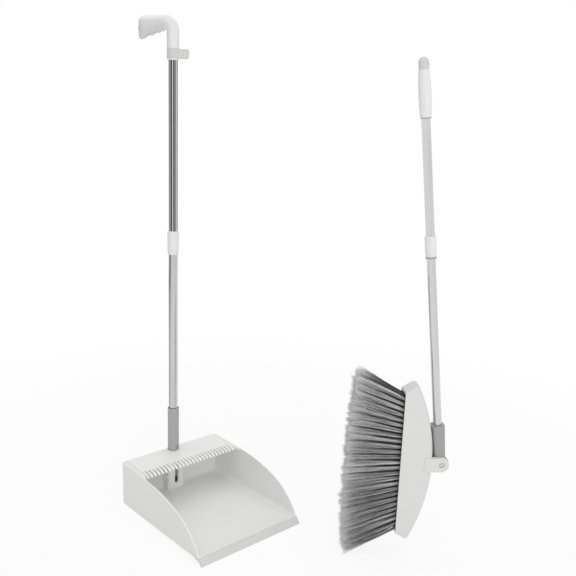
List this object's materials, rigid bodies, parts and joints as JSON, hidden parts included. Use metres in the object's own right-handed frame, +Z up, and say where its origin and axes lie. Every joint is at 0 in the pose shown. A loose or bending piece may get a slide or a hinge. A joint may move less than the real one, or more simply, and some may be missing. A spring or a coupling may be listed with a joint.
{
  "type": "dust pan and brush set",
  "caption": "Long-handled hooded dust pan with a debris comb and storage clip, and an upright broom whose flared bristle head folds on its pole.",
  "frame": {"origin": "on the floor, under the axis of the dust pan's pole", "axes": "+Z up along the pan's pole, -Y out of the pan's mouth, +X across the pan to the right as seen from behind it"},
  "size_m": [0.4179, 0.575, 1.0084],
  "materials": {
    "white_plastic": "moulded polypropylene, low gloss",
    "grey_plastic": "moulded polypropylene, fine grain",
    "lip_vinyl": "soft vinyl, matte",
    "bright_steel": "polished tube",
    "satin_steel": "satin tube",
    "zinc_steel": "zinc plated",
    "bristle_fibre": "flagged filament"
  },
  "bodies": {
    "dustpan": {"pan_body": "white_plastic", "comb_hood": "white_plastic", "lip_strip": "lip_vinyl", "pole_connector": "grey_plastic", "pan_lower_tube": "satin_steel", "pan_joint_plug": "grey_plastic", "pan_pole_sleeve": "white_plastic", "pan_upper_tube": "bright_steel", "l_handle": "white_plastic", "clip_retainer": "white_plastic"},
    "clip": {"storage_clip": "white_plastic"},
    "broom_pole": {"knuckle": "grey_plastic", "broom_lower_tube": "satin_steel", "broom_joint_plug": "grey_plastic", "broom_pole_sleeve": "white_plastic", "broom_upper_tube": "satin_steel", "broom_grip": "white_plastic", "end_cap": "grey_plastic"},
    "broom_head": {"head_block": "white_plastic", "bristles": "bristle_fibre", "pivot_bolt": "zinc_steel", "pivot_nut": "zinc_steel"}
  },
  "joints": [
    {"name": "clip_swivel", "type": "hinge", "parent": "dustpan", "child": "clip", "pos_m": [0, 0, 0.93695], "axis": [0, 0, 1], "continuous": true},
    {"name": "broom_lift", "type": "slide", "parent": "dustpan", "child": "broom_pole", "axis": [0, 0, 1], "range_m": [0, 0.4]},
    {"name": "head_pivot", "type": "hinge", "parent": "broom_pole", "child": "broom_head", "pos_m": [0.27147, -0.51704, 0.1891], "axis": [-0.5934, -0.8049, 0], "range_deg": [0, 166]}
  ]
}
